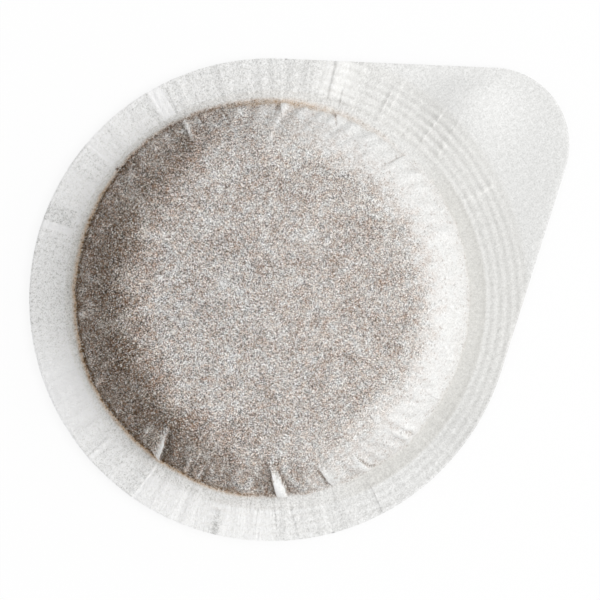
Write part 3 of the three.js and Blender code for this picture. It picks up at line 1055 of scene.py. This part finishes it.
# Marks of the upper sheet. Its pattern is stretched less over the wall than the paper is, so that the
# fibres keep about the crown's width there.
STRETCH = 0.35
PROFILE_STEPS = 4000
# The tucks' tops are paler: as folded paper, and partly as a painted highlight where the folds meet the
# light
TUCK_WHITE = 0.9
# Coffee added in the crevices: partly coffee dust caught there, partly painted shadow
CREVICE_COFFEE_AND_SHADE = 0.8
COFFEE_ENDS = (0.0, 0.3)
NEAR_FLANGE_LIGHT = (0.42, 222, -0.1, 0.85)
ROUGH_FILL_LIT_SIDE = -35
ROUGH_FILL_MEAN = 0.70
ROUGH_FILL_SWING = 0.30
TAB_SMOOTHER = 0.15
RADIAL_FADE = 1.0 * MM
profile = np.linspace(0, sheet_end, PROFILE_STEPS)
rise = np.diff(cup_height(profile))
drawn = np.concatenate([[0], np.cumsum(np.hypot(np.diff(profile), STRETCH * rise))])
# Rough mark: the paper is rougher, and by a painted fill light paler, on the side away from the lamp, where
# the puck's shadow falls; the smoother tab gets a little less of both
rough = ROUGH_FILL_MEAN - ROUGH_FILL_SWING * np.cos(angle - math.radians(ROUGH_FILL_LIT_SIDE))
# Painted light: the flange round 222 degrees from the tab, which the puck's wall shades, is made paler
near_flange_light = facing(angle, *NEAR_FLANGE_LIGHT) * on_flange
upper_marks = {
    "sheet": around(np.interp(radius, profile, drawn), angle, 0) / MM,
    "turned": around(np.full_like(radius, PUCK_RADIUS), angle, STREAK_DRAW * radius) / MM,
    "coffee": (coffee * (1 - bare) + CREVICE_COFFEE_AND_SHADE * dark) * (1 - smooth(past, *COFFEE_ENDS)) + spilt,
    "dust": dust,
    "ring": ring,
    "crevice": np.clip(dark, 0, 1),
    "layers": fold_layers_and_painted_light(radius, angle, on_flange) + TUCK_WHITE * bare + near_flange_light,
    "rough": rough * (1 - TAB_SMOOTHER * calm),
    "radial": smooth(radius, crown_radius, PUCK_RADIUS - RADIAL_FADE) * (1 - calm),
}
upper_marks = {name: np.concatenate([mark, mark[hidden][::-1]]) for name, mark in upper_marks.items()}
upper_paper = sheet_object("upper_paper", upper_above, upper_below, upper_marks)
upper_paper.data.materials.append(filter_paper("filter_paper_upper"))
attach(upper_paper, "root")
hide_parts("upper_filter_paper")


# Floor. A plain sweep of matt white paper that the pod lies on.
# It glows almost to white for the camera, and keeps a faint shadow under the flange.
FLOOR_HALF = 0.6
FLOOR_WHITE = (0.95, 0.95, 0.95, 1)
FLOOR_GLOW = 0.88

floor_mesh = bpy.data.meshes.new("floor")
corners = FLOOR_HALF * np.array([(-1, -1, 0), (1, -1, 0), (1, 1, 0), (-1, 1, 0)])
floor_mesh.from_pydata(corners, [], [(0, 1, 2, 3)])
floor = bpy.data.objects.new("floor", floor_mesh)
bpy.context.scene.collection.objects.link(floor)


def seen_directly(start):
    """1 for rays from the camera, straight or by gloss or glass, and 0 for light that lands on things."""
    camera = start.node("LightPath", None, None, "Is Camera Ray")
    glossy = start.node("LightPath", None, None, "Is Glossy Ray")
    through = start.node("LightPath", None, None, "Is Transmission Ray")
    return camera.larger(glossy).larger(through)


floor_material, start, shader = new_material("floor_sweep")
shader.inputs["Base Color"].default_value = FLOOR_WHITE
shader.inputs["Roughness"].default_value = 1.0
shader.inputs["Specular IOR Level"].default_value = 0.0
glow = start.node("Emission", None, {"Strength": 1.0})
matt = Wire(floor_material.node_tree, shader.outputs[0])
mixed = start.node("MixShader", None, {0: seen_directly(start) * FLOOR_GLOW, 1: matt, 2: glow})
join(mixed, floor_material.node_tree.nodes["Material Output"], "Surface")
floor_mesh.materials.append(floor_material)


# Studio light. A large soft box on the right of the picture, half way up, and an even white room round it.
# The box's power is its level on the floor times the square of pi times its distance, over the sine of its
# elevation. The room lights the pod less brightly than it shows.
ROOM_LEVEL = 0.64
ROOM_WHITE = (1, 1, 1, 1)
KEY_LEVEL = 0.46
KEY_AZIMUTH = math.radians(-37)
KEY_ELEVATION = math.radians(46)
KEY_DISTANCE = 1.5
KEY_SIZE = 1.25

world = bpy.data.worlds.new("studio")
world.use_nodes = True
start = Wire(world.node_tree)
room = start.node("Background", None, {"Color": ROOM_WHITE, "Strength": ROOM_LEVEL})
white = start.node("Background", None, {"Color": ROOM_WHITE, "Strength": 1.0})
mixed = start.node("MixShader", None, {0: seen_directly(start), 1: room, 2: white})
join(mixed, world.node_tree.nodes["World Output"], "Surface")
bpy.context.scene.world = world

key_light = bpy.data.lights.new("key", "AREA")
key_light.size = KEY_SIZE
key_light.energy = KEY_LEVEL * (math.pi * KEY_DISTANCE) ** 2 / math.sin(KEY_ELEVATION)
key = bpy.data.objects.new("key", key_light)
key.location = (
    KEY_DISTANCE * math.cos(KEY_ELEVATION) * math.cos(KEY_AZIMUTH),
    KEY_DISTANCE * math.cos(KEY_ELEVATION) * math.sin(KEY_AZIMUTH),
    KEY_DISTANCE * math.sin(KEY_ELEVATION),
)
key.rotation_euler = key.location.to_track_quat("Z", "Y").to_euler()
bpy.context.scene.collection.objects.link(key)


# Camera. Straight above the pod with a long lens, turned so that the tab points up and to the right.
# Its place follows from where the flange's middle lies in the picture, in pixels, and from their scale.
TAB_RISE = math.radians(35)
PICTURE = 600
PICTURE_SCALE = 8.778 / MM
FLANGE_PIXEL = (270.7, 299.7)
LENS = 200.0

right = np.array([math.cos(TAB_RISE), -math.sin(TAB_RISE)])
up = np.array([math.sin(TAB_RISE), math.cos(TAB_RISE)])
aside = (PICTURE / 2 - FLANGE_PIXEL[0]) / PICTURE_SCALE
above_it = (FLANGE_PIXEL[1] - PICTURE / 2) / PICTURE_SCALE
centre = np.array([-CUT_OFFSET, 0]) + aside * right + above_it * up
lens = bpy.data.cameras.new("camera")
lens.lens = LENS
camera = bpy.data.objects.new("camera", lens)
distance = PICTURE / PICTURE_SCALE * LENS / lens.sensor_width
camera.location = (centre[0], centre[1], flange_top + distance)
camera.rotation_euler = (0, 0, -TAB_RISE)
bpy.context.scene.collection.objects.link(camera)
bpy.context.scene.camera = camera
bpy.context.scene.view_settings.view_transform = "Standard"
